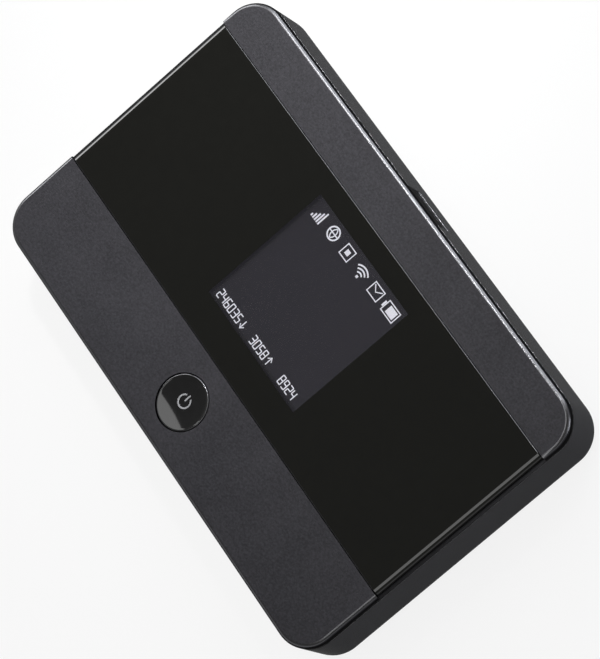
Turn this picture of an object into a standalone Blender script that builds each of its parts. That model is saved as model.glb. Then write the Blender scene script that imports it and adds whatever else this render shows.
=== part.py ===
"""A pocket-sized mobile hotspot, modelled as the pieces that come apart on a bench.

The unit lies on its back. +X runs along its length, +Y across it toward the long edge
with the menu button, and +Z out of the display side. The origin is the centre of the
back face. Sizes below are in millimetres, and MM turns them into Blender's metres.
"""

import math

import bmesh
import bpy

MM = 0.001

# The whole unit
LENGTH = 106.0
WIDTH = 66.0
HEIGHT = 16.0
CORNER_RADIUS = 6.7
GAP = 0.3  # left between pieces that touch on the real unit
WALL = 1.2  # moulded wall of the rear cover
REACH = 5.0  # how far a cutter runs past what it cuts

# Heights of the stack, from the back up
BAY_LOW = 1.9
BATTERY_LOW = 1.6
BATTERY_HIGH = 6.9
CHASSIS_LOW = 4.8
CHASSIS_PLATE_LOW = 7.2
CHASSIS_HIGH = 8.1
BOARD_LOW = 8.4
BOARD_HIGH = 9.4
PARTS_LOW = BOARD_HIGH + GAP  # underside of everything that stands on the board
SHIELD_HIGH = 11.1
TRAY_LOW = 11.4
DISPLAY_LOW = 12.2
DISPLAY_HIGH = 14.0
DECK_LOW = 13.4  # underside of the front cover's deck, which carries the lens
SEAM = 14.5  # parting line between the rear cover and the front cover
DECK_HIGH = 14.7
LENS_LOW = 15.0
SHOULDER_HIGH = 15.6

# Insets from the outer outline
SHOULDER_INSET = 0.61
EDGE_INSET = 0.39
INNER_INSET = WALL + GAP  # outside of what slides into the rear cover
SKIRT = 1.0  # wall of the front cover's skirt and of the inner frame
BACK_ROUNDING = 4.3

# The lens band and the display under it
LENS_Y = (-14.2, 23.45)
LENS_INSET = 0.65
WINDOW_X = (-13.4, 15.5)
WINDOW_Y = (-8.0, 19.3)
DISPLAY_BORDER = 1.25  # display glass outside the visible window

# Buttons
POWER_AT = (0.3, -23.6)
POWER_RADIUS = 5.2
POWER_TRAVEL = 0.4
MENU_X = (-3.4, 5.6)
MENU_Z = (10.9, SEAM - GAP)
MENU_RIBS = 8

# Socket in the -X end wall
SOCKET_Y = 3.75
SOCKET_DEPTH = 5.4
SOCKET_HIGH = 12.5

# Battery and its bay
BATTERY_X = (-17.0, 41.0)
BATTERY_Y = 25.5
BAY_CLEARANCE = 0.4
BAY_WALL = 1.0
CONTACT_Y = (-2.6, 0.0, 2.6)

# Case screws: the place of each, and the screw's own sizes
SCREW_PLACES = (
    (-46.5, -26.5),
    (-46.5, 26.5),
    (46.5, -26.5),
    (46.5, 26.5),
    (24.0, -28.75),
    (24.0, 28.75),
)
SCREW_RADIUS = 0.8
SCREW_HEAD_RADIUS = 1.4
SCREW_HEAD_LOW = 6.2
SCREW_HEAD_HIGH = CHASSIS_PLATE_LOW - GAP
SCREW_TIP = 13.0
BOSS_RADIUS = 2.1

# Sheet antennas
ANTENNA_SHEET = 0.35  # thickness of their metal
ANTENNA_LOW = 12.6  # underside of the flat ones, clear of the deck

ROUND_STEPS = 32
CORNER_STEPS = 6

# Colour, roughness and metallic value of each material
MATERIALS = {
    "matte_shell": ((0.045, 0.044, 0.047), 0.55, 0.0),
    "gloss_shell": ((0.012, 0.012, 0.013), 0.18, 0.0),
    "lens_black": ((0.008, 0.008, 0.008), 0.08, 0.0),
    "button_black": ((0.010, 0.010, 0.011), 0.15, 0.0),
    "display_glass": ((0.035, 0.035, 0.040), 0.25, 0.0),
    "foam": ((0.020, 0.020, 0.020), 0.95, 0.0),
    "frame_plastic": ((0.030, 0.030, 0.032), 0.60, 0.0),
    "tray_metal": ((0.600, 0.600, 0.610), 0.35, 1.0),
    "flex_film": ((0.400, 0.180, 0.040), 0.45, 0.0),
    "connector_plastic": ((0.650, 0.620, 0.540), 0.50, 0.0),
    "switch_plastic": ((0.050, 0.050, 0.050), 0.50, 0.0),
    "battery_wrap": ((0.120, 0.125, 0.130), 0.55, 0.0),
    "contact_metal": ((0.750, 0.560, 0.220), 0.30, 1.0),
    "board_mask": ((0.010, 0.080, 0.030), 0.40, 0.0),
    "shield_metal": ((0.620, 0.620, 0.600), 0.30, 1.0),
    "chip_epoxy": ((0.020, 0.020, 0.021), 0.60, 0.0),
    "steel": ((0.550, 0.550, 0.560), 0.25, 1.0),
    "card_plastic": ((0.700, 0.700, 0.680), 0.45, 0.0),
    "memory_plastic": ((0.020, 0.020, 0.020), 0.45, 0.0),
    "antenna_metal": ((0.700, 0.520, 0.200), 0.30, 1.0),
}


# ---------------------------------------------------------------- scene and tools


def clear_scene():
    for old in list(bpy.data.objects):
        bpy.data.objects.remove(old, do_unlink=True)


def add_collection(name):
    collection = bpy.data.collections.new(name)
    bpy.context.scene.collection.children.link(collection)
    return collection


def make_materials():
    for name, (colour, roughness, metallic) in MATERIALS.items():
        material = bpy.data.materials.new(name)
        material.use_nodes = True
        shader = material.node_tree.nodes["Principled BSDF"]
        shader.inputs["Base Color"].default_value = (*colour, 1.0)
        shader.inputs["Roughness"].default_value = roughness
        shader.inputs["Metallic"].default_value = metallic
        material.diffuse_color = (*colour, 1.0)


def add_piece(name, bm, centre, material, smooth=False):
    """Makes a named piece of the unit from a bmesh built round its own centre."""
    mesh = bpy.data.meshes.new(name)
    bm.to_mesh(mesh)
    bm.free()
    if smooth:
        mesh.shade_smooth()
        mesh.set_sharp_from_angle(angle=math.radians(35))
    if material:
        mesh.materials.append(bpy.data.materials[material])
    piece = bpy.data.objects.new(name, mesh)
    piece.location = [value * MM for value in centre]
    bpy.data.collections["mobile_hotspot" if material else "cutters"].objects.link(piece)
    if not material:
        piece.hide_render = True
        piece.display_type = "WIRE"
    return piece


def combine(piece, other, operation):
    """Cuts the other shape from the piece, or joins it to it."""
    step = piece.modifiers.new(f"{operation.lower()}_{other.name}", "BOOLEAN")
    step.operation = operation
    step.solver = "EXACT"
    step.object = other


def middle(low, high):
    return [(a + b) / 2 for a, b in zip(low, high)]


def box_mesh(low, high):
    """A box between two corners, centred on the origin of its own bmesh."""
    bm = bmesh.new()
    bmesh.ops.create_cube(bm, size=1.0)
    size = [(b - a) * MM for a, b in zip(low, high)]
    bmesh.ops.scale(bm, vec=size, verts=bm.verts)
    return bm


def round_uprights(bm, radius, steps=CORNER_STEPS):
    """Rounds the edges that run straight up, as seen in plan."""
    uprights = []
    for edge in bm.edges:
        along = edge.verts[1].co - edge.verts[0].co
        if abs(along.z) > 0.99 * along.length:
            uprights.append(edge)
    bmesh.ops.bevel(
        bm, geom=uprights, offset=radius * MM, offset_type="OFFSET",
        segments=steps, profile=0.5, affect="EDGES",
    )


def flat_face(bm, top=True):
    """The highest or the lowest flat face of a slab."""
    pick = max if top else min
    return pick(bm.faces, key=lambda face: face.calc_center_median().z)


def round_rim(bm, radius, steps):
    """Rounds the rim of a slab's lowest face."""
    bmesh.ops.bevel(
        bm, geom=list(flat_face(bm, top=False).edges), offset=radius * MM,
        offset_type="OFFSET", segments=steps, profile=0.5, affect="EDGES",
    )


def box(name, low, high, material, corner=0.0):
    bm = box_mesh(low, high)
    if corner:
        round_uprights(bm, corner, steps=3)
    return add_piece(name, bm, middle(low, high), material)


def slab(name, inset, z_low, z_high, material):
    """A slab that follows the unit's outline at an inset, with round corners."""
    half_x = LENGTH / 2 - inset
    half_y = WIDTH / 2 - inset
    low = (-half_x, -half_y, z_low)
    high = (half_x, half_y, z_high)
    bm = box_mesh(low, high)
    round_uprights(bm, CORNER_RADIUS - inset)
    return add_piece(name, bm, middle(low, high), material)


def cylinder(name, centre, radius, length, material, axis="Z", steps=ROUND_STEPS):
    bm = bmesh.new()
    bmesh.ops.create_cone(
        bm, cap_ends=True, segments=steps, radius1=radius * MM, radius2=radius * MM,
        depth=length * MM,
    )
    piece = add_piece(name, bm, centre, material, smooth=True)
    if axis == "Y":
        piece.rotation_euler = (math.radians(90), 0, 0)
    if axis == "X":
        piece.rotation_euler = (0, math.radians(90), 0)
    return piece


def turned(name, profile, centre, material, steps=ROUND_STEPS):
    """A round piece from (radius, height) points, from its top axis to its lowest one."""
    bm = bmesh.new()
    points = [bm.verts.new((radius * MM, 0, height * MM)) for radius, height in profile]
    for first, second in zip(points, points[1:]):
        bm.edges.new((first, second))
    piece = add_piece(name, bm, centre, material, smooth=True)
    screw = piece.modifiers.new("turn", "SCREW")
    screw.steps = steps
    screw.render_steps = steps
    screw.use_merge_vertices = True
    screw.merge_threshold = 0.00001
    screw.use_smooth_shade = True
    return piece


def cut_box(piece, name, low, high, corner=0.0):
    combine(piece, box(f"{piece.name}_{name}", low, high, None, corner), "DIFFERENCE")


def cut_hole(piece, name, centre, radius, length, axis="Z"):
    hole = cylinder(f"{piece.name}_{name}", centre, radius, length, None, axis)
    combine(piece, hole, "DIFFERENCE")


# ---------------------------------------------------------------- casings


def make_front_cover():
    """Rim with its sloping shoulder, the deck under the lens, and the skirt inside."""
    half = (LENGTH / 2, WIDTH / 2)
    low = (-half[0], -half[1], SEAM)
    high = (half[0], half[1], SEAM + 0.15)
    rim = box_mesh(low, high)
    round_uprights(rim, CORNER_RADIUS, steps=8)
    slope = SHOULDER_HIGH - high[2]
    bmesh.ops.inset_region(
        rim, faces=[flat_face(rim)], thickness=SHOULDER_INSET * MM, depth=slope * MM,
        use_even_offset=True,
    )
    bmesh.ops.inset_region(
        rim, faces=[flat_face(rim)], thickness=EDGE_INSET * MM,
        depth=(HEIGHT - SHOULDER_HIGH) * MM, use_even_offset=True,
    )
    cover = add_piece("front_cover", rim, middle(low, high), "matte_shell", smooth=True)
    combine(cover, slab("front_cover_skirt", INNER_INSET, CHASSIS_HIGH + GAP, SEAM + 0.5, None),
            "UNION")
    inner = INNER_INSET + SKIRT
    inside = slab("front_cover_inside", inner, CHASSIS_HIGH - REACH, DECK_LOW, None)
    combine(cover, inside, "DIFFERENCE")

    inner_x = LENGTH / 2 - inner
    inner_y = WIDTH / 2 - inner
    strip_wall = 1.5
    cut_box(cover, "lower_strip", (-inner_x + 4, -inner_y, DECK_LOW - REACH),
            (inner_x - 4, LENS_Y[0] - strip_wall, DECK_HIGH), corner=1.0)
    cut_box(cover, "upper_strip", (-inner_x + 4, LENS_Y[1] + strip_wall, DECK_LOW - REACH),
            (inner_x - 4, inner_y, DECK_HIGH), corner=1.0)
    cut_box(cover, "lens_channel", (-LENGTH, LENS_Y[0] - GAP, DECK_HIGH),
            (LENGTH, LENS_Y[1] + GAP, HEIGHT + REACH))
    border = DISPLAY_BORDER + 0.4
    cut_box(cover, "display_window", (WINDOW_X[0] - border, WINDOW_Y[0] - border, DECK_LOW - REACH),
            (WINDOW_X[1] + border, WINDOW_Y[1] + border, HEIGHT + REACH), corner=1.0)
    cut_hole(cover, "power_hole", (*POWER_AT, HEIGHT), POWER_RADIUS + GAP, 2 * REACH)

    for number, place in enumerate(SCREW_PLACES, 1):
        boss = cylinder(f"front_cover_boss_{number}", (*place, (PARTS_LOW + DECK_HIGH + 0.2) / 2),
                        BOSS_RADIUS, DECK_HIGH + 0.2 - PARTS_LOW, None, steps=20)
        combine(cover, boss, "UNION")
    for number, place in enumerate(SCREW_PLACES, 1):
        top = SCREW_TIP + GAP
        cut_hole(cover, f"screw_hole_{number}", (*place, top - REACH), SCREW_RADIUS + GAP, 2 * REACH)

    cut_box(cover, "menu_opening", (MENU_X[0] - 1.6, WIDTH / 2 - 4.0, CHASSIS_HIGH),
            (MENU_X[1] + 1.6, WIDTH / 2 - WALL - 0.1, SEAM + 0.1))
    cut_box(cover, "socket_opening", (-LENGTH / 2 - REACH, -SOCKET_Y - 0.9, CHASSIS_HIGH),
            (-LENGTH / 2 + 4.0, SOCKET_Y + 0.9, SOCKET_HIGH + 0.6))
    return cover


def make_front_lens():
    """Full-length gloss band, flush with the strips and rounded down at both ends."""
    half_x = LENGTH / 2 - LENS_INSET
    low = (-half_x, LENS_Y[0], LENS_LOW)
    high = (half_x, LENS_Y[1], HEIGHT)
    bm = box_mesh(low, high)
    ends = []
    for edge in bm.edges:
        first, second = (vert.co for vert in edge.verts)
        at_top = first.z > 0 and second.z > 0
        across = abs(second.y - first.y) > abs(second.x - first.x)
        if at_top and across:
            ends.append(edge)
    bmesh.ops.bevel(
        bm, geom=ends, offset=0.7 * MM, offset_type="OFFSET", segments=4,
        profile=0.5, affect="EDGES",
    )
    return add_piece("front_lens", bm, middle(low, high), "lens_black")


def make_rear_cover():
    """Deep tub that clips onto the front: an open surface given its wall thickness."""
    low = (-LENGTH / 2, -WIDTH / 2, 0)
    high = (LENGTH / 2, WIDTH / 2, SEAM - GAP)
    tub = box_mesh(low, high)
    round_uprights(tub, CORNER_RADIUS, steps=8)
    round_rim(tub, BACK_ROUNDING, steps=5)
    bmesh.ops.delete(tub, geom=[flat_face(tub)], context="FACES_ONLY")
    cover = add_piece("rear_cover", tub, middle(low, high), "gloss_shell", smooth=True)
    wall = cover.modifiers.new("wall", "SOLIDIFY")
    wall.thickness = WALL * MM
    wall.offset = -1
    wall.use_even_offset = True

    cut_box(cover, "menu_notch", (MENU_X[0] - GAP, WIDTH / 2 - REACH, MENU_Z[0] - GAP),
            (MENU_X[1] + GAP, WIDTH / 2 + REACH, HEIGHT))
    cut_box(cover, "menu_scoop", (MENU_X[0] - GAP, WIDTH / 2 - 0.5, MENU_Z[0] - 1.7),
            (MENU_X[1] + GAP, WIDTH / 2 + REACH, HEIGHT))
    cut_box(cover, "socket_window", (-LENGTH / 2 - REACH, -SOCKET_Y - 0.9, PARTS_LOW - 0.55),
            (-LENGTH / 2 + 3.0, SOCKET_Y + 0.9, SOCKET_HIGH + 0.55))
    cut_box(cover, "nail_notch", (-LENGTH / 2 - REACH, -WIDTH / 2 + 12, SEAM - 1.3),
            (-LENGTH / 2 + 0.6, -WIDTH / 2 + 20, HEIGHT))
    return cover


def make_inner_frame():
    """Chassis between the battery and the board: plate, outer wall and battery bay."""
    frame = slab("inner_frame", INNER_INSET, CHASSIS_LOW, CHASSIS_HIGH, "frame_plastic")
    inside = slab("inner_frame_inside", INNER_INSET + SKIRT, CHASSIS_LOW - REACH,
                  CHASSIS_PLATE_LOW, None)
    combine(frame, inside, "DIFFERENCE")

    bay_low = (BATTERY_X[0] - BAY_CLEARANCE, -BATTERY_Y - BAY_CLEARANCE)
    bay_high = (BATTERY_X[1] + BAY_CLEARANCE, BATTERY_Y + BAY_CLEARANCE)
    wall = box("inner_frame_bay", (bay_low[0] - BAY_WALL, bay_low[1] - BAY_WALL, BAY_LOW),
               (bay_high[0] + BAY_WALL, bay_high[1] + BAY_WALL, CHASSIS_HIGH - 0.3), None, 2.0)
    combine(frame, wall, "UNION")
    cut_box(frame, "battery_bay", (*bay_low, BAY_LOW - REACH), (*bay_high, CHASSIS_PLATE_LOW),
            corner=1.2)
    cut_box(frame, "thumb_slot", (bay_low[0] - 2.0, -8, BAY_LOW - REACH),
            (bay_low[0] + 2.0, 8, CHASSIS_PLATE_LOW))
    cut_box(frame, "contact_opening", (BATTERY_X[1] - 0.5, -4.9, BAY_LOW - REACH),
            (BATTERY_X[1] + 4.9, 4.9, HEIGHT))
    for name, (low, high) in UNDERSIDE_PARTS.items():
        cut_box(frame, f"{name}_opening", (low[0] - GAP, low[1] - GAP, CHASSIS_LOW),
                (high[0] + GAP, high[1] + GAP, HEIGHT))
    for number, place in enumerate(SCREW_PLACES, 1):
        cut_hole(frame, f"screw_hole_{number}", (*place, CHASSIS_HIGH), SCREW_RADIUS + GAP, REACH)
    return frame


# ---------------------------------------------------------------- display


def make_display():
    """Display glass, the foam gasket over it, its tray, and the flex cable to the board."""
    low_x, high_x = WINDOW_X[0] - DISPLAY_BORDER, WINDOW_X[1] + DISPLAY_BORDER
    low_y, high_y = WINDOW_Y[0] - DISPLAY_BORDER, WINDOW_Y[1] + DISPLAY_BORDER
    box("display_module", (low_x, low_y, DISPLAY_LOW), (high_x, high_y, DISPLAY_HIGH),
        "display_glass", corner=0.5)

    gasket = box("display_gasket", (low_x, low_y, DISPLAY_HIGH + GAP),
                 (high_x, high_y, LENS_LOW - GAP), "foam", corner=0.5)
    cut_box(gasket, "window", (WINDOW_X[0], WINDOW_Y[0], 0), (WINDOW_X[1], WINDOW_Y[1], HEIGHT))

    clear = GAP
    side = 0.8
    tray = box("display_tray", (low_x - clear - side, low_y - clear - side, TRAY_LOW),
               (high_x + clear + side, high_y + clear + side, DECK_LOW - GAP),
               "tray_metal", corner=1.0)
    cut_box(tray, "seat", (low_x - clear, low_y - clear, DISPLAY_LOW - GAP),
            (high_x + clear, high_y + clear, HEIGHT), corner=0.6)
    make_display_flex(low_y - clear - side)


def make_display_flex(tray_edge):
    """Ribbon that leaves the tray, turns down and folds back onto the board connector."""
    half_width = 5.0
    middle_x = sum(WINDOW_X) / 2
    thick = 0.2
    start_y = tray_edge - GAP
    bend_radius = 0.75
    top = TRAY_LOW + 1.1
    bend_y = start_y - 2.2
    path = [(start_y, top)]
    for step in range(9):
        angle = math.radians(90 + 180 * step / 8)
        path.append((bend_y + bend_radius * math.cos(angle),
                     top - bend_radius + bend_radius * math.sin(angle)))
    path.append((bend_y + 1.6, top - 2 * bend_radius))

    bm = bmesh.new()
    left = [bm.verts.new((-half_width * MM, y * MM, z * MM)) for y, z in path]
    strip = [bm.edges.new(pair) for pair in zip(left, left[1:])]
    wide = bmesh.ops.extrude_edge_only(bm, edges=strip)["geom"]
    moved = [item for item in wide if isinstance(item, bmesh.types.BMVert)]
    bmesh.ops.translate(bm, vec=(2 * half_width * MM, 0, 0), verts=moved)
    bmesh.ops.recalc_face_normals(bm, faces=bm.faces)
    flex = add_piece("display_flex", bm, (middle_x, 0, 0), "flex_film", smooth=True)
    film = flex.modifiers.new("film", "SOLIDIFY")
    film.thickness = thick * MM
    film.offset = 0

    connector_y = bend_y + 1.0
    box("display_connector", (middle_x - half_width - 0.6, connector_y - 1.4, PARTS_LOW),
        (middle_x + half_width + 0.6, connector_y + 1.4, PARTS_LOW + 0.9), "connector_plastic",
        corner=0.3)


# ---------------------------------------------------------------- buttons


def make_power_button():
    """Round dished key, with the flange that holds it under the strip, and its switch."""
    dish_radius = POWER_RADIUS - 0.35
    dish_depth = 0.45
    top = HEIGHT - 0.05
    flange_high = DECK_HIGH - GAP
    flange_low = flange_high - 0.8
    stem_low = 12.0
    stem_radius = 1.2
    profile = []
    for step in range(7):
        share = step / 6
        profile.append((dish_radius * share, top - dish_depth * (1 - share ** 2)))
    profile += [
        (POWER_RADIUS - 0.12, top - 0.08),
        (POWER_RADIUS, top - 0.25),
        (POWER_RADIUS, flange_high),
        (POWER_RADIUS + 0.9, flange_high),
        (POWER_RADIUS + 0.9, flange_low),
        (stem_radius, flange_low),
        (stem_radius, stem_low),
        (0.0, stem_low),
    ]
    turned("power_button", profile, (*POWER_AT, 0), "button_black")

    x, y = POWER_AT
    switch_high = 11.0
    switch = box("power_switch", (x - 3, y - 3, PARTS_LOW), (x + 3, y + 3, switch_high),
                 "switch_plastic", corner=0.6)
    plunger_radius = 0.9
    cut_hole(switch, "plunger_hole", (x, y, PARTS_LOW + 0.4 + REACH / 2),
             plunger_radius + GAP, REACH)
    plunger_low = PARTS_LOW + 0.4 + POWER_TRAVEL + 0.1
    plunger_high = stem_low - GAP
    cylinder("power_switch_plunger", (x, y, (plunger_low + plunger_high) / 2),
             plunger_radius, plunger_high - plunger_low, "connector_plastic", steps=20)


def make_menu_button():
    """Ribbed key in the rim of the +Y wall, with its flange and stem, and its switch."""
    face = WIDTH / 2 - 0.1
    back = WIDTH / 2 - WALL - GAP  # inner face of the rear cover's wall, less the gap
    key = box("menu_button", (MENU_X[0], back - 0.5, MENU_Z[0]), (MENU_X[1], face, MENU_Z[1]),
              "button_black", corner=0.25)
    grooves = bmesh.new()
    pitch = (MENU_X[1] - MENU_X[0]) / MENU_RIBS
    for number in range(1, MENU_RIBS):
        bmesh.ops.create_cube(grooves, size=1.0)
        new = grooves.verts[-8:]
        bmesh.ops.scale(grooves, vec=(0.4 * MM, 0.5 * MM, REACH * MM), verts=new)
        offset = (MENU_X[0] + pitch * number, face, sum(MENU_Z) / 2)
        bmesh.ops.translate(grooves, vec=[value * MM for value in offset], verts=new)
    combine(key, add_piece("menu_button_grooves", grooves, (0, 0, 0), None), "DIFFERENCE")

    flange = box("menu_button_flange", (MENU_X[0] - 1.1, back - 0.6, MENU_Z[0]),
                 (MENU_X[1] + 1.1, back, MENU_Z[1]), None)
    combine(key, flange, "UNION")
    x = sum(MENU_X) / 2
    z = sum(MENU_Z) / 2 - 0.4
    stem_back = back - 0.9
    stem = box("menu_button_stem", (x - 1, stem_back, z - 0.6), (x + 1, back - 0.3, z + 0.6), None)
    combine(key, stem, "UNION")

    switch_back = 26.2
    switch_face = 29.3
    switch = box("menu_switch", (x - 2.3, switch_back, PARTS_LOW), (x + 2.3, switch_face, 13.0),
                 "switch_plastic", corner=0.3)
    plunger_radius = 0.7
    hole_back = 28.2
    cut_hole(switch, "plunger_hole", (x, hole_back + REACH / 2, z), plunger_radius + GAP, REACH, "Y")
    plunger_back = hole_back + 0.5
    plunger_tip = stem_back - GAP
    cylinder("menu_switch_plunger", (x, (plunger_back + plunger_tip) / 2, z),
             plunger_radius, plunger_tip - plunger_back, "connector_plastic", "Y", steps=20)


# ---------------------------------------------------------------- power


def make_battery():
    """Wrapped flat cell, and the spring contact block that stands at its +X end."""
    bm = box_mesh((BATTERY_X[0], -BATTERY_Y, BATTERY_LOW), (BATTERY_X[1], BATTERY_Y, BATTERY_HIGH))
    round_uprights(bm, 1.5, steps=3)
    centre = middle((BATTERY_X[0], -BATTERY_Y, BATTERY_LOW),
                    (BATTERY_X[1], BATTERY_Y, BATTERY_HIGH))
    battery = add_piece("battery_pack", bm, centre, "battery_wrap")
    for number, y in enumerate(CONTACT_Y, 1):
        cut_box(battery, f"pad_{number}", (BATTERY_X[1] - 0.3, y - 0.9, 3.0),
                (BATTERY_X[1] + REACH, y + 0.9, 6.0))

    block_x = BATTERY_X[1] + 0.95
    box("battery_contact_block", (block_x, -4.5, 2.8), (block_x + 3.5, 4.5, BOARD_LOW - GAP),
        "switch_plastic", corner=0.3)
    for number, y in enumerate(CONTACT_Y, 1):
        box(f"battery_contact_{number}", (BATTERY_X[1] + 0.3, y - 0.6, 3.2),
            (block_x - 0.3, y + 0.6, 5.8), "contact_metal", corner=0.1)


# ---------------------------------------------------------------- board and what is on it

# Each can stands over one chip: its low and high corner in plan
SHIELDS = {
    "processor": ((-14.0, -8.0), (15.0, 20.0)),
    "modem": ((19.5, -24.0), (41.0, 6.0)),
    "wifi": ((19.5, 9.0), (41.0, 25.5)),
    "power": ((-42.0, -24.0), (-18.0, -7.0)),
}
SHIELD_WALL = 0.35
CHIP_HIGH = 10.5

# Low and high corner of each piece that hangs from the board into the inner frame
UNDERSIDE_PARTS = {
    "sim_holder": ((-49.4, -2.0, 5.2), (-32.4, 18.0, BOARD_LOW - GAP)),
    "memory_slot": ((-31.6, 2.0, 5.4), (-18.9, 17.0, BOARD_LOW - GAP)),
    "reset_switch": ((-27.0, -24.0, 6.4), (-23.5, -20.5, BOARD_LOW - GAP)),
}


def make_board():
    """Main board, with its screw holes and a recess round the socket."""
    inset = INNER_INSET + SKIRT + 0.4
    low = (-LENGTH / 2 + inset, -WIDTH / 2 + inset, BOARD_LOW)
    high = (43.0, WIDTH / 2 - inset, BOARD_HIGH)
    board = box("main_board", low, high, "board_mask", corner=CORNER_RADIUS - inset)
    for number, place in enumerate(SCREW_PLACES, 1):
        if place[0] < high[0]:
            cut_hole(board, f"screw_hole_{number}", (*place, BOARD_HIGH), SCREW_RADIUS + GAP, REACH)


def make_shields():
    """Pressed cans, open toward the board, each over its own chip."""
    for name, (low, high) in SHIELDS.items():
        can = box(f"shield_{name}", (*low, PARTS_LOW), (*high, SHIELD_HIGH), "shield_metal",
                  corner=0.8)
        inside_low = (low[0] + SHIELD_WALL, low[1] + SHIELD_WALL, PARTS_LOW - REACH)
        inside_high = (high[0] - SHIELD_WALL, high[1] - SHIELD_WALL, SHIELD_HIGH - SHIELD_WALL)
        cut_box(can, "inside", inside_low, inside_high, corner=0.5)
        x = (low[0] + high[0]) / 2
        y = (low[1] + high[1]) / 2
        half = 0.3 * min(high[0] - low[0], high[1] - low[1])
        box(f"chip_{name}", (x - half, y - half, PARTS_LOW), (x + half, y + half, CHIP_HIGH),
            "chip_epoxy", corner=0.3)


def make_socket():
    """Micro USB socket at the -X end: rolled shell open to the outside, and its tongue."""
    mouth = -LENGTH / 2 + WALL + GAP + 0.1
    shell = box("usb_shell", (mouth, -SOCKET_Y, PARTS_LOW), (mouth + SOCKET_DEPTH, SOCKET_Y, SOCKET_HIGH),
                "steel")
    cut_box(shell, "inside", (mouth - REACH, -SOCKET_Y + 0.35, PARTS_LOW + 0.35),
            (mouth + SOCKET_DEPTH - 0.35, SOCKET_Y - 0.35, SOCKET_HIGH - 0.35))
    box("usb_tongue", (mouth + 0.8, -1.9, PARTS_LOW + 1.2), (mouth + SOCKET_DEPTH - 0.65, 1.9,
        PARTS_LOW + 1.8), "switch_plastic")


def make_card_slots():
    """SIM holder and memory card slot under the board, each with its card."""
    (low, high) = UNDERSIDE_PARTS["sim_holder"]
    holder = box("sim_holder", low, high, "steel")
    card_x = (low[0] + 1.0, low[0] + 16.0)
    card_z = (low[2] + 0.75, low[2] + 1.55)
    cut_box(holder, "slot", (card_x[0] - GAP, low[1] - REACH, card_z[0] - GAP),
            (card_x[1] + GAP, high[1] - 0.6, card_z[1] + GAP))
    card = box("sim_card", (card_x[0], high[1] - 26.0, card_z[0]),
               (card_x[1], high[1] - 1.0, card_z[1]), "card_plastic", corner=1.0)
    corner = box("sim_card_corner", (-2, -2, -2), (2, 2, 2), None)
    corner.location = [value * MM for value in (card_x[1] + 0.4, high[1] - 0.6, card_z[0])]
    corner.rotation_euler = (0, 0, math.radians(45))
    combine(card, corner, "DIFFERENCE")

    (low, high) = UNDERSIDE_PARTS["memory_slot"]
    slot = box("memory_slot", low, high, "steel")
    card_x = (low[0] + 0.85, low[0] + 11.85)
    card_z = (low[2] + 0.7, low[2] + 1.4)
    cut_box(slot, "slot", (card_x[0] - GAP, low[1] - REACH, card_z[0] - GAP),
            (card_x[1] + GAP, high[1] - 0.6, card_z[1] + GAP))
    box("memory_card", (card_x[0], high[1] - 16.0, card_z[0]),
        (card_x[1], high[1] - 1.0, card_z[1]), "memory_plastic", corner=0.6)


def make_reset_button():
    """Small key under the rear cover, pressed toward the display side."""
    (low, high) = UNDERSIDE_PARTS["reset_switch"]
    box("reset_switch", low, high, "switch_plastic", corner=0.4)
    x = (low[0] + high[0]) / 2
    y = (low[1] + high[1]) / 2
    key_high = low[2] - GAP
    key_length = 0.7
    cylinder("reset_button", (x, y, key_high - key_length / 2), 0.9, key_length,
             "connector_plastic", steps=20)


def make_main_antenna(sheet, sheet_low):
    """Slotted sheet antenna at the +X end, on a hollow moulded carrier with a rib across."""
    x_low, x_high = 43.6, 50.0
    reach = 22.0  # half the carrier's length along Y
    wall, roof, rib = 1.2, 1.0, 2.0
    high = sheet_low - GAP
    carrier = box("antenna_carrier", (x_low, -reach, CHASSIS_HIGH + 0.4), (x_high, reach, high),
                  "frame_plastic", corner=0.6)
    for side, place in ((-1, "near"), (1, "far")):
        y_low, y_high = sorted((side * rib, side * (reach - rib)))
        cut_box(carrier, f"{place}_core", (x_low + wall, y_low, 0), (x_high - wall, y_high, high - roof))

    x_inset, y_inset = 0.2, 0.5  # how far the sheet stays inside the carrier
    antenna = box("main_antenna", (x_low + x_inset, y_inset - reach, sheet_low),
                  (x_high - x_inset, reach - y_inset, sheet_low + sheet), "antenna_metal")
    slots, slot_width, slot_reach = 5, 1.2, 17.0
    neck = 1.2  # metal left at the closed end of each slot
    for number in range(slots):
        y = slot_reach * (2 * number / (slots - 1) - 1)
        shift = neck if number % 2 else -neck
        cut_box(antenna, f"slot_{number + 1}", (x_low + x_inset + shift, y - slot_width / 2, 0),
                (x_high - x_inset + shift, y + slot_width / 2, HEIGHT))


def make_small_antennas(sheet, sheet_low):
    """Diversity antenna with its leg at the -X end, and an upright Wi-Fi antenna by each edge."""
    x_low, x_high, y_low, y_high = -49.8, -44.5, 8.5, 23.8
    leg_width = 2.0
    plate = box("diversity_antenna", (x_low, y_low, sheet_low), (x_high, y_high, sheet_low + sheet),
                "antenna_metal")
    leg = box("diversity_antenna_leg", (x_high - leg_width, y_low, PARTS_LOW),
              (x_high, y_low + sheet, sheet_low + sheet / 2), None)
    combine(plate, leg, "UNION")
    slot_low, slot_width, slot_start = -48.2, 1.0, 11.0
    cut_box(plate, "slot", (slot_low, slot_start, sheet_low - REACH),
            (slot_low + slot_width, y_high + REACH, HEIGHT))

    wifi_x, wifi_y = (28.0, 40.0), 28.6
    slot_z = (10.8, 11.5)
    closed_end = 3.0  # metal left at the closed end of the slot
    for number, side in enumerate((-1, 1), 1):
        inner, outer = sorted((side * wifi_y, side * (wifi_y + sheet)))
        upright = box(f"wifi_antenna_{number}", (wifi_x[0], inner, PARTS_LOW),
                      (wifi_x[1], outer, sheet_low), "antenna_metal")
        cut_box(upright, "slot", (wifi_x[0] + closed_end, inner - REACH, slot_z[0]),
                (wifi_x[1] + REACH, outer + REACH, slot_z[1]))


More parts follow.
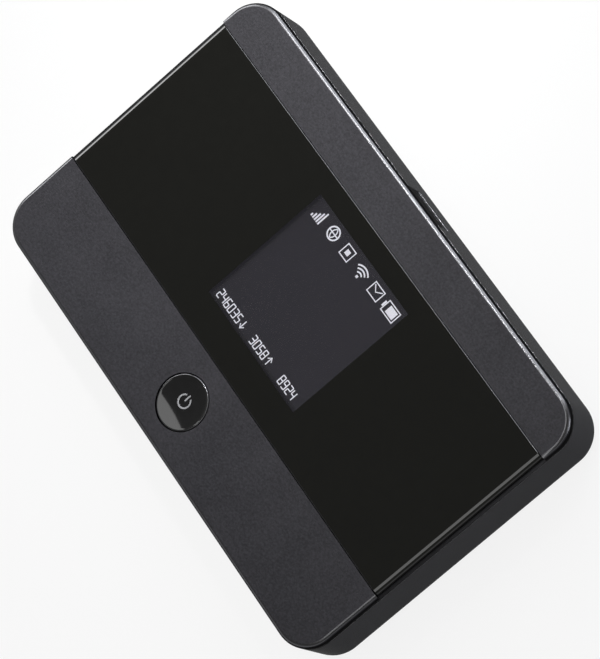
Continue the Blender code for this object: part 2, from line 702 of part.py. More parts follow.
def make_screws():
    """Case screws, driven from the back through the frame and the board."""
    for number, place in enumerate(SCREW_PLACES, 1):
        profile = [
            (0.0, SCREW_TIP),
            (SCREW_RADIUS * 0.6, SCREW_TIP),
            (SCREW_RADIUS, SCREW_TIP - 0.5),
            (SCREW_RADIUS, SCREW_HEAD_HIGH),
            (SCREW_HEAD_RADIUS, SCREW_HEAD_HIGH),
            (SCREW_HEAD_RADIUS, SCREW_HEAD_LOW + 0.2),
            (SCREW_HEAD_RADIUS - 0.2, SCREW_HEAD_LOW),
            (0.0, SCREW_HEAD_LOW),
        ]
        screw = turned(f"case_screw_{number}", profile, (*place, 0), "steel", steps=16)
        slot_low = (place[0] - 0.8, place[1] - 0.15, SCREW_HEAD_LOW - REACH)
        slot_high = (place[0] + 0.8, place[1] + 0.15, SCREW_HEAD_LOW + 0.35)
        cut_box(screw, "recess", slot_low, slot_high)


clear_scene()
add_collection("mobile_hotspot")
add_collection("cutters")
make_materials()
make_front_cover()
make_front_lens()
make_rear_cover()
make_inner_frame()
make_display()
make_power_button()
make_menu_button()
make_battery()
make_board()
make_shields()
make_socket()
make_card_slots()
make_reset_button()
make_main_antenna(ANTENNA_SHEET, ANTENNA_LOW)
make_small_antennas(ANTENNA_SHEET, ANTENNA_LOW)
make_screws()
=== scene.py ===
import math

import bpy
from mathutils import Matrix, Vector


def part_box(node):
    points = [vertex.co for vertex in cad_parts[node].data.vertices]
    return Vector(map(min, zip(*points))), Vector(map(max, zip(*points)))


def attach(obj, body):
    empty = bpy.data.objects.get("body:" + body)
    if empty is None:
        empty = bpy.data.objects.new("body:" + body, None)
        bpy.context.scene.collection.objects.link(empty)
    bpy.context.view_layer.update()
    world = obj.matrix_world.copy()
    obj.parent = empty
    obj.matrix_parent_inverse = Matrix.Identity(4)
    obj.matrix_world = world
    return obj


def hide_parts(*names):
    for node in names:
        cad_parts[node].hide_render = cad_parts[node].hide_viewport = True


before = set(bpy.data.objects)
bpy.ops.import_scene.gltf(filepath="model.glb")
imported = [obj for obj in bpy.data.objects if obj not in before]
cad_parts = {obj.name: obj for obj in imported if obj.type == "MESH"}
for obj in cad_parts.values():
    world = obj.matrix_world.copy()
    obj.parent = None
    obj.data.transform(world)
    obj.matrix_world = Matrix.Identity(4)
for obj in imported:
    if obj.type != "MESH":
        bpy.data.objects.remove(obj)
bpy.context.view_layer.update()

MM = 0.001


# ---- Rear cover -------------------------------------------------------------------
# Deep black tub, injection moulded in one shot and polished on its outside. It clips
# round the inner frame, and its rim is notched for the menu key and cut for the socket.

def select_only(piece):
    bpy.ops.object.select_all(action="DESELECT")
    piece.select_set(True)
    bpy.context.view_layer.objects.active = piece


def add_block(name, low, high):
    """A block between two corners, with its size in its mesh."""
    bpy.ops.object.select_all(action="DESELECT")
    centre = (Vector(low) + Vector(high)) / 2
    bpy.ops.mesh.primitive_cube_add(size=1, location=centre)
    block = bpy.context.object
    block.name = name
    block.data.name = name
    block.scale = Vector(high) - Vector(low)
    bpy.ops.object.transform_apply(location=True, rotation=True, scale=True)
    return block


def edit(piece):
    select_only(piece)
    bpy.ops.object.mode_set(mode="EDIT")


def leave_edit():
    bpy.ops.object.mode_set(mode="OBJECT")


def pick(piece, kind, test):
    """In edit mode, selects only the vertices, edges or faces whose points pass the test."""
    bpy.ops.mesh.select_mode(type=kind)
    bpy.ops.mesh.select_all(action="DESELECT")
    bpy.ops.object.mode_set(mode="OBJECT")
    mesh = piece.data
    groups = {"VERT": mesh.vertices, "EDGE": mesh.edges, "FACE": mesh.polygons}
    for item in groups[kind]:
        if kind == "VERT":
            points = [item.co]
        else:
            points = [mesh.vertices[number].co for number in item.vertices]
        item.select = test(points)
    bpy.ops.object.mode_set(mode="EDIT")


def at_height(z):
    return lambda points: all(abs(point.z - z) < 1e-6 for point in points)


def upright(points):
    rise = points[1] - points[0]
    return abs(rise.z) > 0.99 * rise.length


def carve(piece, low, high):
    """Cuts a block out of the piece."""
    cutter = add_block("cutter", low, high)
    apply_boolean(piece, cutter, "DIFFERENCE")


def apply_boolean(piece, other, operation):
    step = piece.modifiers.new("boolean", "BOOLEAN")
    step.operation = operation
    step.object = other
    select_only(piece)
    bpy.ops.object.modifier_apply(modifier=step.name)
    bpy.data.objects.remove(other)


def break_edges(piece, width, segments=2, angle=35):
    """Rounds every sharp edge a little, as a mould does, and smooths the shading."""
    step = piece.modifiers.new("edges", "BEVEL")
    step.width = width
    step.segments = segments
    step.limit_method = "ANGLE"
    step.angle_limit = math.radians(angle)
    step.use_clamp_overlap = True
    select_only(piece)
    bpy.ops.object.modifier_apply(modifier=step.name)
    smooth_shading(piece, 40)


def smooth_shading(piece, angle):
    """Smooth shading up to this angle, with the broad faces kept flat beside small ones."""
    select_only(piece)
    bpy.ops.object.shade_smooth_by_angle(angle=math.radians(angle))
    step = piece.modifiers.new("normals", "WEIGHTED_NORMAL")
    step.weight = 100
    step.keep_sharp = True
    bpy.ops.object.modifier_apply(modifier=step.name)


def new_material(name):
    material = bpy.data.materials.new(name)
    material.use_nodes = True
    return material, material.node_tree, material.node_tree.nodes["Principled BSDF"]


def surface_group():
    """Moulded surface: fine grain, broad mottling, and dust-like specks, in real sizes."""
    tree = bpy.data.node_groups.new("moulded_surface", "ShaderNodeTree")
    face = tree.interface
    for name, kind, value in (
        ("Dark", "NodeSocketColor", (0.02, 0.02, 0.02, 1)),
        ("Light", "NodeSocketColor", (0.05, 0.05, 0.05, 1)),
        ("Grain Size", "NodeSocketFloat", 4000.0),
        ("Rough Low", "NodeSocketFloat", 0.4),
        ("Rough High", "NodeSocketFloat", 0.6),
        ("Bump", "NodeSocketFloat", 0.2),
    ):
        socket = face.new_socket(name, in_out="INPUT", socket_type=kind)
        socket.default_value = value
    face.new_socket("Color", in_out="OUTPUT", socket_type="NodeSocketColor")
    face.new_socket("Roughness", in_out="OUTPUT", socket_type="NodeSocketFloat")
    face.new_socket("Normal", in_out="OUTPUT", socket_type="NodeSocketVector")
    nodes, links = tree.nodes, tree.links
    inside, outside = nodes.new("NodeGroupInput"), nodes.new("NodeGroupOutput")
    place = nodes.new("ShaderNodeTexCoord")
    grain = nodes.new("ShaderNodeTexNoise")
    grain.inputs["Detail"].default_value = 3
    links.new(place.outputs["Object"], grain.inputs["Vector"])
    links.new(inside.outputs["Grain Size"], grain.inputs["Scale"])
    cloud = nodes.new("ShaderNodeTexNoise")
    cloud.inputs["Scale"].default_value = 90
    cloud.inputs["Detail"].default_value = 2
    links.new(place.outputs["Object"], cloud.inputs["Vector"])
    blend = nodes.new("ShaderNodeMix")
    blend.data_type = "FLOAT"
    blend.inputs["Factor"].default_value = 0.25
    links.new(grain.outputs["Fac"], blend.inputs["A"])
    links.new(cloud.outputs["Fac"], blend.inputs["B"])
    spread = nodes.new("ShaderNodeMapRange")
    spread.inputs["From Min"].default_value = 0.3
    spread.inputs["From Max"].default_value = 0.7
    links.new(blend.outputs["Result"], spread.inputs["Value"])
    tone = nodes.new("ShaderNodeMix")
    tone.data_type = "RGBA"
    links.new(spread.outputs["Result"], tone.inputs["Factor"])
    links.new(inside.outputs["Dark"], tone.inputs["A"])
    links.new(inside.outputs["Light"], tone.inputs["B"])
    links.new(tone.outputs["Result"], outside.inputs["Color"])
    rough = nodes.new("ShaderNodeMapRange")
    links.new(cloud.outputs["Fac"], rough.inputs["Value"])
    links.new(inside.outputs["Rough Low"], rough.inputs["To Min"])
    links.new(inside.outputs["Rough High"], rough.inputs["To Max"])
    links.new(rough.outputs["Result"], outside.inputs["Roughness"])
    bump = nodes.new("ShaderNodeBump")
    bump.inputs["Distance"].default_value = 0.00004
    links.new(inside.outputs["Bump"], bump.inputs["Strength"])
    links.new(grain.outputs["Fac"], bump.inputs["Height"])
    links.new(bump.outputs["Normal"], outside.inputs["Normal"])
    return tree


MOULDED_SURFACE = surface_group()


def moulded(name, dark, light, rough=(0.4, 0.6), grain_size=4000.0, bump=0.2):
    """A moulded or coated surface, made with the shared group and its own values."""
    material, tree, shader = new_material(name)
    group = tree.nodes.new("ShaderNodeGroup")
    group.node_tree = MOULDED_SURFACE
    group.inputs["Dark"].default_value = (*dark, 1)
    group.inputs["Light"].default_value = (*light, 1)
    group.inputs["Grain Size"].default_value = grain_size
    group.inputs["Rough Low"].default_value = rough[0]
    group.inputs["Rough High"].default_value = rough[1]
    group.inputs["Bump"].default_value = bump
    tree.links.new(group.outputs["Color"], shader.inputs["Base Color"])
    tree.links.new(group.outputs["Roughness"], shader.inputs["Roughness"])
    tree.links.new(group.outputs["Normal"], shader.inputs["Normal"])
    return material, shader


def dress(piece, *materials):
    piece.data.materials.clear()
    for material in materials:
        piece.data.materials.append(material)


def fit(piece, node, body):
    """Puts a finished piece in the place of its CAD node."""
    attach(piece, body)
    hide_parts(node)


rear_low, rear_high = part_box("rear_cover")
menu_low, menu_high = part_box("menu_button")
socket_low, socket_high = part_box("usb_shell")
corner_radius = 6.7 * MM
back_rounding = 4.3 * MM
rear_wall = 1.2 * MM
clearance = 0.3 * MM
flange_reach = 1.1 * MM

rear = add_block("rear_cover_shell", rear_low, rear_high)
edit(rear)
pick(rear, "EDGE", upright)
bpy.ops.mesh.bevel(offset=corner_radius, segments=14, affect="EDGES")
pick(rear, "FACE", at_height(rear_low.z))
bpy.ops.mesh.region_to_loop()
bpy.ops.mesh.bevel(offset=back_rounding, segments=10, affect="EDGES")
pick(rear, "FACE", at_height(rear_high.z))
bpy.ops.mesh.delete(type="FACE")
leave_edit()
shell = rear.modifiers.new("wall", "SOLIDIFY")
shell.thickness = rear_wall
shell.offset = -1
shell.use_even_offset = True
select_only(rear)
bpy.ops.object.modifier_apply(modifier=shell.name)

key_x = (menu_low.x + flange_reach, menu_high.x - flange_reach)
carve(rear, (key_x[0] - clearance, rear_high.y - 5 * MM, menu_low.z - clearance),
      (key_x[1] + clearance, rear_high.y + 5 * MM, rear_high.z + 5 * MM))
carve(rear, (key_x[0] - clearance, rear_high.y - 0.5 * MM, menu_low.z - 1.7 * MM),
      (key_x[1] + clearance, rear_high.y + 5 * MM, rear_high.z + 5 * MM))
socket_mid = (socket_low.z + socket_high.z) / 2
socket_half = 1.95 * MM
carve(rear, (rear_low.x - 5 * MM, socket_low.y - 0.9 * MM, socket_mid - socket_half),
      (rear_low.x + 3 * MM, socket_high.y + 0.9 * MM, socket_mid + socket_half))
carve(rear, (rear_low.x - 5 * MM, rear_low.y + 12 * MM, rear_high.z - 1.0 * MM),
      (rear_low.x + 0.6 * MM, rear_low.y + 20 * MM, rear_high.z + 5 * MM))
break_edges(rear, 0.12 * MM)

rear_black, rear_shader = moulded("rear_cover_black", (0.018, 0.018, 0.019), (0.022, 0.022, 0.024),
                                  rough=(0.07, 0.11), grain_size=900, bump=0.02)
rear_shader.inputs["Specular IOR Level"].default_value = 0.2
# Brighter grey copy of the black plastic for the rounded rim faces: a painted highlight, so the lamps'
# lines on the edges stand out.
painted_highlight_edge, painted_highlight_edge_shader = moulded("edge_painted_highlight", (0.085, 0.085, 0.090), (0.10, 0.10, 0.105),
                                 rough=(0.24, 0.30), grain_size=900, bump=0.0)
painted_highlight_edge_shader.inputs["Metallic"].default_value = 1.0
dress(rear, rear_black, painted_highlight_edge)
# Rim faces that lean between flat and upright take the brighter copy, the painted highlight.
for face in rear.data.polygons:
    by_key = key_x[0] - 1 * MM < face.center.x < key_x[1] + 1 * MM and face.center.y > menu_low.y
    on_rim = face.center.z > (menu_low.z - 2.2 * MM if by_key else rear_high.z - 0.13 * MM)
    face.material_index = 1 if on_rim and 0.2 < face.normal.z < 0.95 else 0
fit(rear, "rear_cover", "rear_cover")


# ---- Front cover ------------------------------------------------------------------
# Matte grey moulding: a strip each side of the black band, a quarter round at the rim
# whose upper faces take the brighter edge copy as a painted highlight, and the deck and
# skirt that the boards and the screws fasten to.

front_low, front_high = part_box("front_cover")
lens_low, lens_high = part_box("front_lens")
power_low, power_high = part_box("power_button")
seam = rear_high.z + clearance
edge_radius = 0.98 * MM
rim_height = front_high.z - edge_radius - seam
deck_low = 13.4 * MM
deck_high = lens_low.z - clearance
power_centre = Vector(((power_low.x + power_high.x) / 2, (power_low.y + power_high.y) / 2, 0))
power_radius = (power_high.x - power_low.x) / 2 - 0.9 * MM

front = add_block("front_cover_shell", (front_low.x, front_low.y, seam),
                  (front_high.x, front_high.y, seam + rim_height))
edit(front)
pick(front, "EDGE", upright)
bpy.ops.mesh.bevel(offset=corner_radius, segments=16, affect="EDGES")
pick(front, "FACE", at_height(seam + rim_height))
edge_steps = 12
turn = math.pi / 2 / edge_steps
length = 2 * edge_radius * math.sin(turn / 2)
for step in range(edge_steps):
    lean = turn * (step + 0.5)
    bpy.ops.mesh.inset(thickness=length * math.sin(lean), depth=length * math.cos(lean))
leave_edit()


def add_slab(name, inset, low_z, high_z):
    """A slab that follows the unit's outline, this far inside it."""
    slab = add_block(name, (front_low.x + inset, front_low.y + inset, low_z),
                     (front_high.x - inset, front_high.y - inset, high_z))
    edit(slab)
    pick(slab, "EDGE", upright)
    bpy.ops.mesh.bevel(offset=corner_radius - inset, segments=10, affect="EDGES")
    leave_edit()
    return slab


def add_round(name, centre, radius, low_z, high_z, vertices=96):
    bpy.ops.object.select_all(action="DESELECT")
    bpy.ops.mesh.primitive_cylinder_add(
        vertices=vertices, radius=radius, depth=high_z - low_z,
        location=(centre.x, centre.y, (low_z + high_z) / 2),
    )
    piece = bpy.context.object
    piece.name = name
    bpy.ops.object.transform_apply(location=True, rotation=True, scale=True)
    return piece


skirt_inset = rear_wall + clearance
skirt_wall = 1.0 * MM
apply_boolean(front, add_slab("skirt", skirt_inset, front_low.z, seam + 0.5 * MM), "UNION")
hollow = add_slab("hollow", skirt_inset + skirt_wall, front_low.z - 5 * MM, deck_low)
apply_boolean(front, hollow, "DIFFERENCE")
strip_end = 6.5 * MM
for low_y, high_y in ((front_low.y + 2.5 * MM, lens_low.y - 1.5 * MM),
                      (lens_high.y + 1.5 * MM, front_high.y - 2.5 * MM)):
    carve(front, (front_low.x + strip_end, low_y, deck_low - 5 * MM),
          (front_high.x - strip_end, high_y, deck_high))
carve(front, (front_low.x - 1, lens_low.y - clearance, deck_high),
      (front_high.x + 1, lens_high.y + clearance, front_high.z + 5 * MM))
module_low, module_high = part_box("display_module")
window_slack = 0.4 * MM
carve(front, (module_low.x - window_slack, module_low.y - window_slack, deck_low - 5 * MM),
      (module_high.x + window_slack, module_high.y + window_slack, front_high.z + 5 * MM))
apply_boolean(front, add_round("power_hole", power_centre, power_radius + clearance,
                               deck_low - 5 * MM, front_high.z + 5 * MM), "DIFFERENCE")
boss_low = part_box("shield_modem")[0].z
boss_radius, screw_hole_radius = 2.1 * MM, 1.1 * MM
past = 5 * MM
screw_centres = []
for number in range(1, 7):
    screw_low, screw_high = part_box(f"case_screw_{number}")
    centre = (screw_low + screw_high) / 2
    screw_centres.append(centre)
    apply_boolean(front, add_round("boss", centre, boss_radius, boss_low, deck_high + 0.2 * MM, 32),
                  "UNION")
for centre in screw_centres:
    apply_boolean(front, add_round("screw_hole", centre, screw_hole_radius, boss_low - past,
                                   screw_high.z + clearance, 24), "DIFFERENCE")
carve(front, (menu_low.x - 0.5 * MM, front_high.y - 4 * MM, front_low.z - 0.3 * MM),
      (menu_high.x + 0.5 * MM, front_high.y - rear_wall - 0.1 * MM, seam + 0.1 * MM))
carve(front, (front_low.x - 5 * MM, socket_low.y - 0.9 * MM, front_low.z - 0.3 * MM),
      (front_low.x + 4 * MM, socket_high.y + 0.9 * MM, socket_high.z + 0.6 * MM))
break_edges(front, 0.12 * MM, angle=48)

matte_grey, matte_shader = moulded("front_cover_matte", (0.0090, 0.0086, 0.0107), (0.025, 0.0241, 0.0288),
                                   rough=(0.42, 0.50), grain_size=2600, bump=0.8)
rim_black, rim_shader = moulded("front_cover_shoulder", (0.026, 0.026, 0.028), (0.032, 0.032, 0.035),
                                rough=(0.26, 0.32), grain_size=900, bump=0.02)
rim_shader.inputs["Metallic"].default_value = 1.0
rim_shader.inputs["Specular Tint"].default_value = (0.6, 0.6, 0.6, 1)
matte_shader.inputs["Specular IOR Level"].default_value = 0.2
dress(front, matte_grey, rim_black, painted_highlight_edge)
level = 0.985
# Faces of the quarter round between this slope and flat take the brighter edge copy, a painted highlight.
highlight_from = 0.72
for face in front.data.polygons:
    face.material_index = 1
    if face.center.z > front_high.z - 0.01 * MM and face.normal.z > level:
        face.material_index = 0
    elif face.center.z > seam + 0.2 * MM and highlight_from < face.normal.z <= 0.99:
        face.material_index = 2
fit(front, "front_cover", "main_body")


# ---- Inner frame and screws -------------------------------------------------------
# Glass-filled black chassis that holds the battery, with six plated screws driven
# through it and the main board into the front cover.

frame_black, _ = moulded("inner_frame_black", (0.018, 0.018, 0.019), (0.034, 0.034, 0.035),
                         rough=(0.5, 0.68), grain_size=2200, bump=0.3)
dress(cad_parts["inner_frame"], frame_black)
dress(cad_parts["antenna_carrier"], frame_black)


def metal(name, dark, light, rough, streaks=(3000.0, 120.0, 3000.0)):
    """Rolled or plated metal, with faint streaks along the way it was rolled."""
    material, tree, shader = new_material(name)
    nodes, links = tree.nodes, tree.links
    place = nodes.new("ShaderNodeTexCoord")
    stretch = nodes.new("ShaderNodeMapping")
    stretch.inputs["Scale"].default_value = streaks
    noise = nodes.new("ShaderNodeTexNoise")
    noise.inputs["Scale"].default_value = 1.0
    noise.inputs["Detail"].default_value = 3
    links.new(place.outputs["Object"], stretch.inputs["Vector"])
    links.new(stretch.outputs["Vector"], noise.inputs["Vector"])
    tone = nodes.new("ShaderNodeValToRGB")
    tone.color_ramp.elements[0].position = 0.35
    tone.color_ramp.elements[0].color = (*dark, 1)
    tone.color_ramp.elements[1].position = 0.65
    tone.color_ramp.elements[1].color = (*light, 1)
    links.new(noise.outputs["Fac"], tone.inputs["Fac"])
    links.new(tone.outputs["Color"], shader.inputs["Base Color"])
    rough_range = nodes.new("ShaderNodeMapRange")
    rough_range.inputs["To Min"].default_value = rough[0]
    rough_range.inputs["To Max"].default_value = rough[1]
    links.new(noise.outputs["Fac"], rough_range.inputs["Value"])
    links.new(rough_range.outputs["Result"], shader.inputs["Roughness"])
    shader.inputs["Metallic"].default_value = 1.0
    return material


screw_steel = metal("screw_steel", (0.34, 0.34, 0.36), (0.62, 0.62, 0.64), (0.22, 0.36))
head_radius = 1.4 * MM
for number, centre in enumerate(screw_centres, 1):
    screw_low, screw_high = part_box(f"case_screw_{number}")
    head_top = screw_low.z + 0.7 * MM
    screw = add_round(f"screw_{number}", centre, head_radius, screw_low.z, head_top, 48)
    edit(screw)
    pick(screw, "FACE", at_height(head_top))
    bpy.ops.mesh.inset(thickness=0.6 * MM, depth=0)
    bpy.ops.mesh.extrude_region_move(
        TRANSFORM_OT_translate={"value": (0, 0, screw_high.z - head_top - 0.4 * MM)})
    bpy.ops.mesh.inset(thickness=0.25 * MM, depth=0.4 * MM)
    leave_edit()
    for length, width in ((1.7 * MM, 0.34 * MM), (0.34 * MM, 1.7 * MM)):
        carve(screw, (centre.x - length / 2, centre.y - width / 2, screw_low.z - 1 * MM),
              (centre.x + length / 2, centre.y + width / 2, screw_low.z + 0.4 * MM))
    break_edges(screw, 0.08 * MM)
    dress(screw, screw_steel)
    fit(screw, f"case_screw_{number}", "main_body")


# ---- Display ----------------------------------------------------------------------
# Small lit panel bonded in its metal tray, with a foam gasket over its border. The
# picture is dark, with white status signs along the top and counters along the bottom.
# A dimmer glowing band along its left and bottom edges is painted shade from the window's edge.

tray_metal = metal("display_tray_metal", (0.42, 0.42, 0.43), (0.62, 0.62, 0.63), (0.3, 0.42))
dress(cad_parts["display_tray"], tray_metal)
foam_black, _ = moulded("gasket_foam", (0.010, 0.010, 0.010), (0.030, 0.030, 0.030),
                        rough=(0.85, 0.95), grain_size=2500, bump=0.8)
dress(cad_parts["display_gasket"], foam_black)

gasket_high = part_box("display_gasket")[1]
view_low = module_low + Vector((1.70, 1.48, 0)) * MM
view_high = module_high - Vector((0.80, 1.02, 0)) * MM
pillar_low = module_low + Vector((1.35, 1.35, 0)) * MM
pillar_high = module_high - Vector((1.35, 1.35, 0)) * MM
sheet_reach, sheet_low = 0.7 * MM, gasket_high.z + 0.05 * MM
picture_z = lens_low.z - 0.1 * MM
panel = add_block("display_panel", module_low, module_high)
edit(panel)
pick(panel, "EDGE", upright)
bpy.ops.mesh.bevel(offset=0.5 * MM, segments=4, affect="EDGES")
leave_edit()
apply_boolean(panel, add_block("pillar", (pillar_low.x, pillar_low.y, module_high.z - 0.2 * MM),
                               (pillar_high.x, pillar_high.y, sheet_low + 0.05 * MM)), "UNION")
apply_boolean(panel, add_block("sheet", (view_low.x - sheet_reach, view_low.y - sheet_reach, sheet_low),
                               (view_high.x + sheet_reach, view_high.y + sheet_reach, picture_z)),
              "UNION")
# The picture stops short of its left and bottom edges, where a dimmer glow stands for painted shade.
lit_low = Vector((view_low.x + 0.55 * MM, view_low.y + 0.6 * MM, picture_z))
edit(panel)
for along in ((1, 0, 0), (0, 1, 0)):
    bpy.ops.mesh.select_all(action="SELECT")
    bpy.ops.mesh.bisect(plane_co=lit_low, plane_no=along)
leave_edit()


def glowing(name, colour, strength, speckle=0.0, pitch=8000.0):
    """A lit part of the picture, with the panel's fine cell pattern in its brightness."""
    material, tree, shader = new_material(name)
    nodes, links = tree.nodes, tree.links
    place = nodes.new("ShaderNodeTexCoord")
    cells = nodes.new("ShaderNodeTexChecker")
    cells.inputs["Scale"].default_value = pitch
    cells.inputs["Color1"].default_value = (*colour, 1)
    cells.inputs["Color2"].default_value = (*[part * (1 - speckle) for part in colour], 1)
    links.new(place.outputs["Object"], cells.inputs["Vector"])
    links.new(cells.outputs["Color"], shader.inputs["Emission Color"])
    shader.inputs["Emission Strength"].default_value = strength
    shader.inputs["Base Color"].default_value = (*[part * 0.3 for part in colour], 1)
    shader.inputs["Roughness"].default_value = 0.5
    shader.inputs["Specular IOR Level"].default_value = 0.0
    return material


# The second glow is dimmer: painted shade on the left and bottom bands and on the rest of the panel.
panel_dark = glowing("panel_picture", (0.0165, 0.0155, 0.0215), 1.0, 0.08)
panel_painted_shade = glowing("panel_painted_shade", (0.0110, 0.0104, 0.0145), 1.0, 0.05)
sign_white = glowing("sign_white", (0.64, 0.64, 0.70), 1.0, 0.12, 5000)
dress(panel, panel_painted_shade, panel_dark)
for face in panel.data.polygons:
    lit = face.center.x > lit_low.x and face.center.y > lit_low.y and face.center.z > sheet_low
    face.material_index = 1 if lit else 0
fit(panel, "display_module", "main_body")

sign_height = picture_z + 0.005 * MM
sign_thick = 0.03 * MM
sign_parts = []


def stroke(points, width, closed=False):
    """A flat stroke of the picture through points in the panel's plane."""
    curve = bpy.data.curves.new("stroke", "CURVE")
    curve.dimensions = "3D"
    curve.bevel_depth = width / 2
    curve.bevel_resolution = 1
    curve.use_fill_caps = True
    line = curve.splines.new("POLY")
    line.points.add(len(points) - 1)
    for point, (x, y) in zip(line.points, points):
        point.co = (x, y, 0, 1)
    line.use_cyclic_u = closed
    piece = bpy.data.objects.new("stroke", curve)
    bpy.context.scene.collection.objects.link(piece)
    select_only(piece)
    bpy.ops.object.convert(target="MESH")
    piece = bpy.context.object
    piece.scale.z = sign_thick / width
    piece.location.z = sign_height + sign_thick / 2
    bpy.ops.object.transform_apply(location=True, rotation=True, scale=True)
    sign_parts.append(piece)
    return piece


def bar(low_x, low_y, high_x, high_y):
    sign_parts.append(add_block("bar", (low_x, low_y, sign_height),
                                (high_x, high_y, sign_height + sign_thick)))


def arc(centre, radius, start, end, steps=14):
    points = []
    for step in range(steps + 1):
        angle = math.radians(start + (end - start) * step / steps)
        points.append((centre[0] + radius * math.cos(angle), centre[1] + radius * math.sin(angle)))
    return points


thin = 0.22 * MM
thick = 0.30 * MM
row_y = 17.1 * MM
sign_pitch = 4.68 * MM
first_x = -10.4 * MM


def sign_x(number):
    return first_x + sign_pitch * number


for step in range(5):
    left = sign_x(0) - 1.2 * MM + 0.55 * MM * step
    bar(left, row_y - 1.4 * MM, left + 0.32 * MM, row_y - 1.4 * MM + 0.55 * MM * (step + 1))
globe = (sign_x(1), row_y)
globe_radius = 1.28 * MM
stroke(arc(globe, globe_radius, 0, 345, 24), thick, closed=True)
stroke(arc((globe[0] - 0.85 * MM, globe[1]), 1.35 * MM, -50, 50), thin)
stroke(arc((globe[0] + 0.85 * MM, globe[1]), 1.35 * MM, 130, 230), thin)
stroke([(globe[0] - globe_radius, globe[1]), (globe[0] + globe_radius, globe[1])], thin)
square_x = sign_x(2)
stroke([(square_x - 1.2 * MM, row_y - 1.2 * MM), (square_x + 1.2 * MM, row_y - 1.2 * MM),
        (square_x + 1.2 * MM, row_y + 1.2 * MM), (square_x - 1.2 * MM, row_y + 1.2 * MM)],
       thick, closed=True)
bar(square_x - 0.5 * MM, row_y - 0.5 * MM, square_x + 0.5 * MM, row_y + 0.5 * MM)
waves = (sign_x(3), row_y - 1.3 * MM)
bar(waves[0] - 0.25 * MM, waves[1] - 0.15 * MM, waves[0] + 0.25 * MM, waves[1] + 0.35 * MM)
for radius in (0.95, 1.6, 2.25):
    stroke(arc(waves, radius * MM, 45, 135), thick)
letter_x = sign_x(4)
half_wide, half_tall = 1.45 * MM, 1.15 * MM
stroke([(letter_x - half_wide, row_y - half_tall), (letter_x + half_wide, row_y - half_tall),
        (letter_x + half_wide, row_y + half_tall), (letter_x - half_wide, row_y + half_tall)],
       thick, closed=True)
stroke([(letter_x - half_wide * 0.8, row_y + half_tall * 0.7), (letter_x, row_y - 0.1 * MM),
        (letter_x + half_wide * 0.8, row_y + half_tall * 0.7)], thin)
cell_x = sign_x(5)
stroke([(cell_x - 1.6 * MM, row_y - half_tall), (cell_x + 1.8 * MM, row_y - half_tall),
        (cell_x + 1.8 * MM, row_y + half_tall), (cell_x - 1.6 * MM, row_y + half_tall)],
       thick, closed=True)
bar(cell_x - 2.15 * MM, row_y - 0.6 * MM, cell_x - 1.75 * MM, row_y + 0.6 * MM)
bar(cell_x - 0.7 * MM, row_y - 0.8 * MM, cell_x + 1.4 * MM, row_y + 0.8 * MM)

# Which of a counter digit's seven bars are lit: top, upper right, lower right, bottom,
# lower left, upper left, middle
LIT_BARS = {"0": "1111110", "1": "0110000", "2": "1101101", "3": "1111001", "4": "0110011",
            "5": "1011011", "6": "1011111", "7": "1110000", "8": "1111111", "9": "1111011"}
digit_wide, digit_tall, digit_pitch = 0.80 * MM, 1.75 * MM, 1.22 * MM
counter_y = -7.1 * MM


def digit(character, left, low):
    right, high, mid = left + digit_wide, low + digit_tall, low + digit_tall / 2
    ends = [((left, high), (right, high)), ((right, high), (right, mid)),
            ((right, mid), (right, low)), ((left, low), (right, low)),
            ((left, mid), (left, low)), ((left, high), (left, mid)),
            ((left, mid), (right, mid))]
    for lit, pair in zip(LIT_BARS[character], ends):
        if lit == "1":
            stroke(pair, thin)


def counter(text, left, arrow=0):
    for number, character in enumerate(text):
        digit(character, left + digit_pitch * number, counter_y)
    if arrow:
        x = left + digit_pitch * len(text) + 0.7 * MM
        tail, tip = counter_y + digit_tall * (arrow < 0), counter_y + digit_tall * (arrow > 0)
        back = tip - 0.7 * MM * arrow
        stroke([(x, tail), (x, tip)], thin)
        stroke([(x - 0.55 * MM, back), (x, tip), (x + 0.55 * MM, back)], thin)


counter("246035", -11.8 * MM, arrow=-1)
counter("3058", -0.6 * MM, arrow=1)
counter("8924", 9.0 * MM)
bpy.ops.object.select_all(action="DESELECT")
for part in sign_parts:
    part.select_set(True)
bpy.context.view_layer.objects.active = sign_parts[0]
bpy.ops.object.join()
signs = bpy.context.object
signs.name = "display_signs"
dress(signs, sign_white)
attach(signs, "main_body")


# ---- Front lens -------------------------------------------------------------------
# One clear cap the whole length of the front, printed black on its underside except
# over the display. Its ends roll down to the rim, and its long bevelled edges are a brighter metal-like
# grey, a painted highlight.

side_growth = Vector((0, 0.2 * MM, 0))
lens_low, lens_high = lens_low - side_growth, lens_high + side_growth
lens = add_block("front_lens_cap", lens_low, lens_high)
end_roll, end_drop = 1.55 * MM, 0.75 * MM


def top_end(points):
    across = abs(points[1].y - points[0].y) > abs(points[1].x - points[0].x)
    return at_height(lens_high.z)(points) and across


edit(lens)
pick(lens, "EDGE", top_end)
bpy.ops.mesh.bevel(offset=end_drop, segments=12, affect="EDGES")
leave_edit()
for vertex in lens.data.vertices:
    side = 1 if vertex.co.x > 0 else -1
    from_end = lens_high.x - abs(vertex.co.x)
    if from_end < end_drop + 1e-7:
        vertex.co.x = side * (lens_high.x - from_end * end_roll / end_drop)


def top_long(points):
    along = abs(points[1].x - points[0].x) > abs(points[1].y - points[0].y)
    on_side = all(abs(abs(point.y - (lens_low.y + lens_high.y) / 2)
                      - (lens_high.y - lens_low.y) / 2) < 1e-6 for point in points)
    return along and on_side and min(point.z for point in points) > lens_low.z + 0.1 * MM


edit(lens)
pick(lens, "EDGE", top_long)
bpy.ops.mesh.bevel(offset=0.16 * MM, segments=4, affect="EDGES")
clear_margin = 0.5 * MM
for grow in (0, clear_margin):
    for corner, side in ((view_low, -1), (view_high, 1)):
        for along in ((1, 0, 0), (0, 1, 0)):
            bpy.ops.mesh.select_all(action="SELECT")
            bpy.ops.mesh.bisect(plane_co=corner + Vector((side * grow, side * grow, 0)), plane_no=along)
leave_edit()
smooth_shading(lens, 40)

